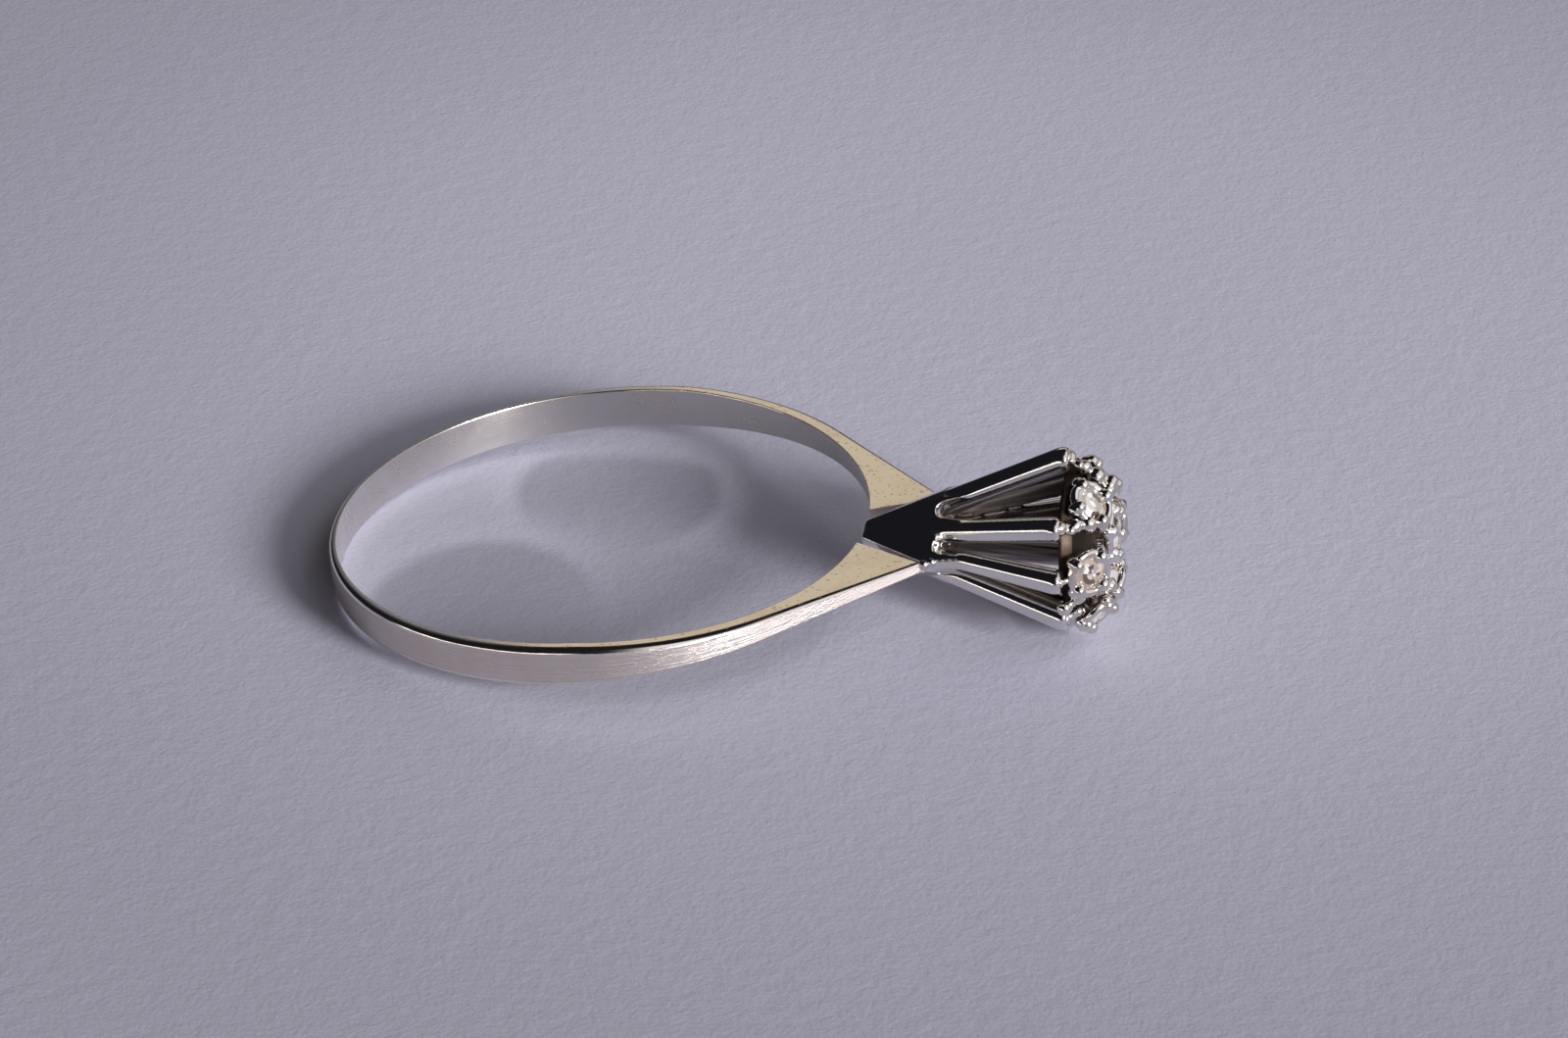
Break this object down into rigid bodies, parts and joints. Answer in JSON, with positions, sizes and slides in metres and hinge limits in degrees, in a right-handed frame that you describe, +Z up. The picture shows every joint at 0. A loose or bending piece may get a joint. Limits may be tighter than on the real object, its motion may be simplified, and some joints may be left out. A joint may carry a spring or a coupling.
{
  "type": "cluster ring",
  "caption": "Slim tapering finger ring with straight shoulders and a slotted cone crown holding a domed cluster of cut stones.",
  "frame": {"origin": "middle of the bounding box at floor level, with the ring lying on its side", "axes": "+X from the back of the band to the crown, +Z up from the floor; the finger hole's axis leans 6.2 degrees from +Z towards -X"},
  "size_m": [0.0262, 0.0184, 0.0066],
  "materials": {
    "white_gold": "polished crown, satin band with fine scratches",
    "clear_stone": "cut and polished"
  },
  "bodies": {
    "root": {"shank_and_crown": "white_gold", "stone_centre": "clear_stone", "stone_1": "clear_stone", "stone_2": "clear_stone", "stone_3": "clear_stone", "stone_4": "clear_stone", "stone_5": "clear_stone", "stone_6": "clear_stone"}
  },
  "joints": []
}
